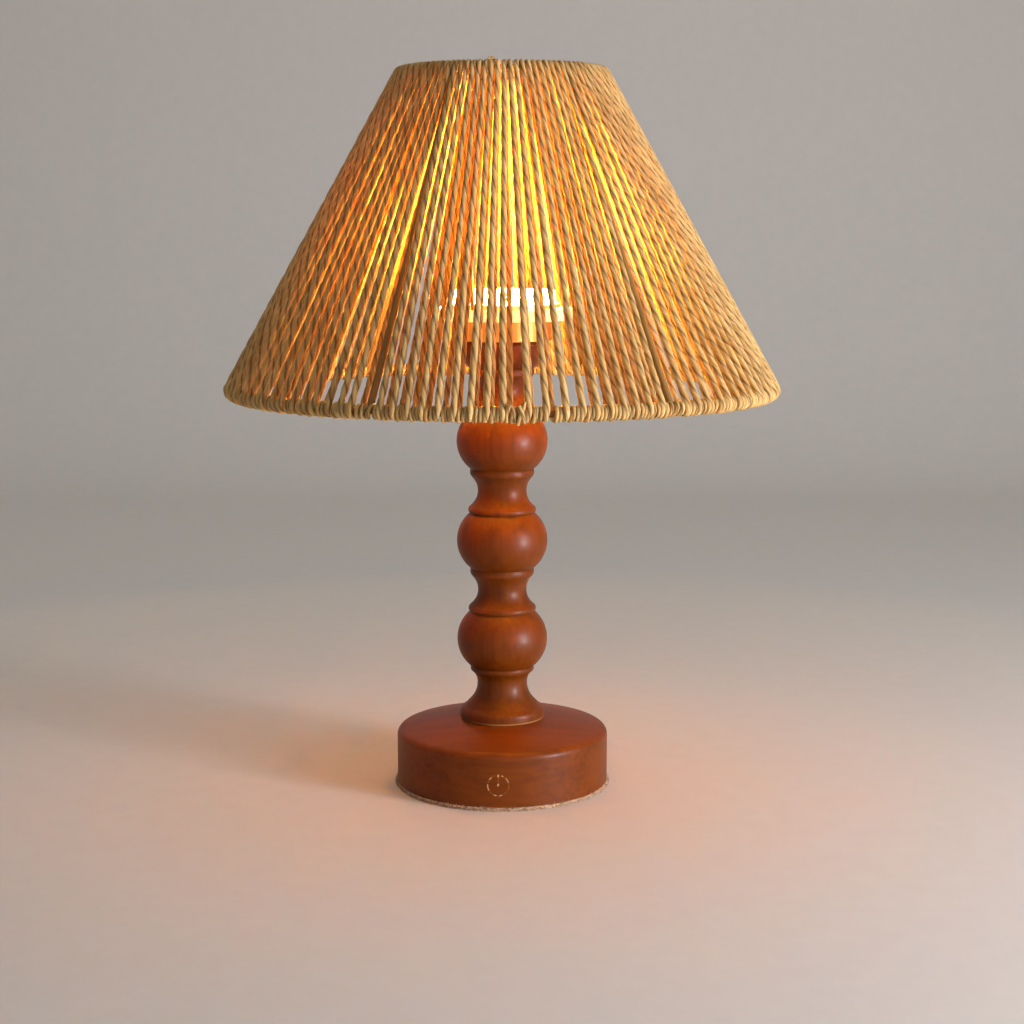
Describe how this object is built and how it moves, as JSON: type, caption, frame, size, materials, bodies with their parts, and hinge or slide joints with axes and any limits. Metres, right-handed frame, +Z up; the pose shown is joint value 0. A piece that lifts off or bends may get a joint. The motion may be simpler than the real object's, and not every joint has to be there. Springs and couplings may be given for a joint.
{
  "type": "table lamp",
  "caption": "Touch table lamp with a turned wooden base and bobbin stem, an LED head in a dish, and a lift-off cone shade of twisted paper cord strung on a wire frame.",
  "frame": {"origin": "centre of the felt's underside, on the table", "axes": "+Z up along the stem, -Y to the front with the touch place, +X to the right"},
  "size_m": [0.3, 0.3, 0.389],
  "materials": {
    "wood": "satin lacquer",
    "felt": "fuzzy",
    "black_plastic": "matt",
    "steel": "plain",
    "aluminium": "satin",
    "brass": "satin",
    "opal": "opal",
    "copper": "copper",
    "board": "solder mask",
    "white_board": "white solder mask",
    "battery": "film",
    "foam": "foam",
    "lead": "smooth",
    "chip": "phosphor",
    "wire": "satin",
    "cord": "twisted paper"
  },
  "bodies": {
    "lamp": {"felt_pad": "felt", "base_block": "wood", "bottom_cover": "black_plastic", "cover_screws": "steel", "battery_pad": "foam", "battery_pack": "battery", "battery_lead": "lead", "control_board": "board", "board_screws": "steel", "charge_socket": "steel", "port_bezel": "black_plastic", "touch_pad": "copper", "touch_lead": "lead", "stem": "wood", "rod": "steel", "base_washer": "steel", "base_nut": "steel", "cup_nut": "steel", "led_lead": "lead", "head_cup": "brass", "grub_screws": "steel", "led_housing": "aluminium", "led_board": "white_board", "led_chips": "chip", "led_screws": "steel", "diffuser": "opal"},
    "dish": {"dish": "opal"},
    "shade": {"top_ring": "wire", "bottom_ring": "wire", "carrier_ring": "wire", "strut_1": "wire", "strut_2": "wire", "strut_3": "wire", "strut_4": "wire", "strut_5": "wire", "strut_6": "wire", "drop_arm_1": "wire", "drop_arm_2": "wire", "drop_arm_3": "wire", "cord_bay_1": "cord", "cord_bay_2": "cord", "cord_bay_3": "cord", "cord_bay_4": "cord", "cord_bay_5": "cord", "cord_bay_6": "cord", "cord_wraps": "cord"}
  },
  "joints": [
    {"name": "shade_turn", "type": "hinge", "parent": "lamp", "child": "dish", "pos_m": [0, 0, 0.2577], "axis": [0, 0, 1], "continuous": true},
    {"name": "shade_lift", "type": "slide", "parent": "dish", "child": "shade", "axis": [0, 0, 1], "range_m": [0, 0.08]}
  ]
}
